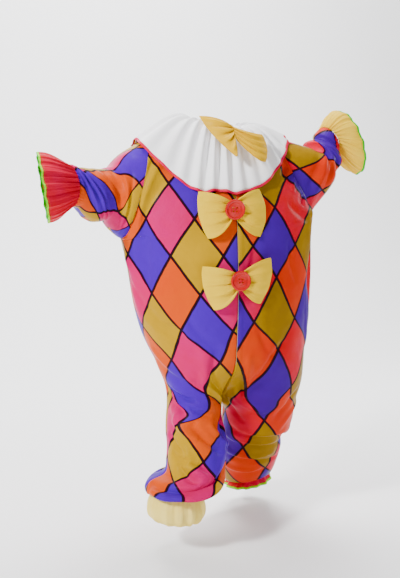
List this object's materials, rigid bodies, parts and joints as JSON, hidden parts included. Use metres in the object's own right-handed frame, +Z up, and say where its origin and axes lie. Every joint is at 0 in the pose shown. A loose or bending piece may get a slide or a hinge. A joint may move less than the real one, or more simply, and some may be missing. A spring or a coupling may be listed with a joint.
{
  "type": "clown costume",
  "caption": "Baggy one-piece harlequin satin clown suit in a worn pose, open at neck, wrists and ankles, with a wide gathered collar, bows, big buttons and bound ruffles.",
  "frame": {"origin": "middle of the neck opening, at the height of the shoulder seams, where the wearer's neck and shoulders hold the suit up", "axes": "+Z up along the worn suit, -Y the way the wearer faces, +X towards the wearer's left"},
  "size_m": [1.1524, 0.5527, 1.375],
  "materials": {
    "harlequin_satin": "satin with diamonds in violet, pink, orange and gold, outlined in black",
    "red_satin": "satin",
    "yellow_satin": "satin",
    "green_binding": "satin",
    "white_satin": "soft satin",
    "red_binding": "satin",
    "red_plastic": "gloss",
    "black_elastic": "matt"
  },
  "bodies": {
    "root": {"front_right": "harlequin_satin", "front_left": "harlequin_satin", "back_right": "harlequin_satin", "back_left": "harlequin_satin", "sleeve_right": "harlequin_satin", "sleeve_left": "harlequin_satin", "wrist_ruffle_right": "red_satin", "wrist_ruffle_right_binding": "green_binding", "wrist_ruffle_left": "yellow_satin", "wrist_ruffle_left_binding": "green_binding", "ankle_ruffle_right": "yellow_satin", "ankle_ruffle_left": "red_satin", "ankle_ruffle_left_binding": "green_binding", "collar": "white_satin", "collar_binding": "red_binding", "bow_upper": "yellow_satin", "bow_lower": "yellow_satin", "bow_neck": "yellow_satin", "button_upper": "red_plastic", "button_lower": "red_plastic", "neck_elastic": "black_elastic"}
  },
  "joints": []
}
